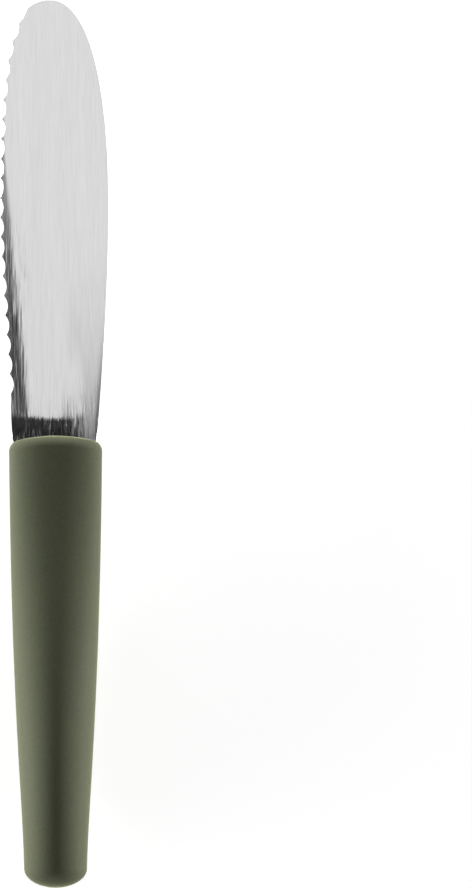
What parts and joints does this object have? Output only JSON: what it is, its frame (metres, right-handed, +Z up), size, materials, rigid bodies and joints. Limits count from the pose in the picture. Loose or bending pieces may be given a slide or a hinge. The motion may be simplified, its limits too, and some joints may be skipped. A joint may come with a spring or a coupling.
{
  "type": "butter knife",
  "caption": "Butter knife: wide round-ended steel blade with a scalloped edge on one side, and a smooth olive soft-touch handle that swells from a flat oval neck to a round butt.",
  "frame": {"origin": "bottom centre of the knife's box as it lies flat, under the handle's belly", "axes": "+X along the knife from butt to tip, +Y towards the scalloped edge, +Z up through the blade's cheeks"},
  "size_m": [0.2284, 0.028, 0.0175],
  "materials": {
    "blade_steel": "satin",
    "core_nylon": "matte",
    "grip_skin": "matte"
  },
  "bodies": {
    "root": {"blade": "blade_steel", "core_half_front": "core_nylon", "core_half_back": "core_nylon", "grip_sleeve": "grip_skin"}
  },
  "joints": []
}
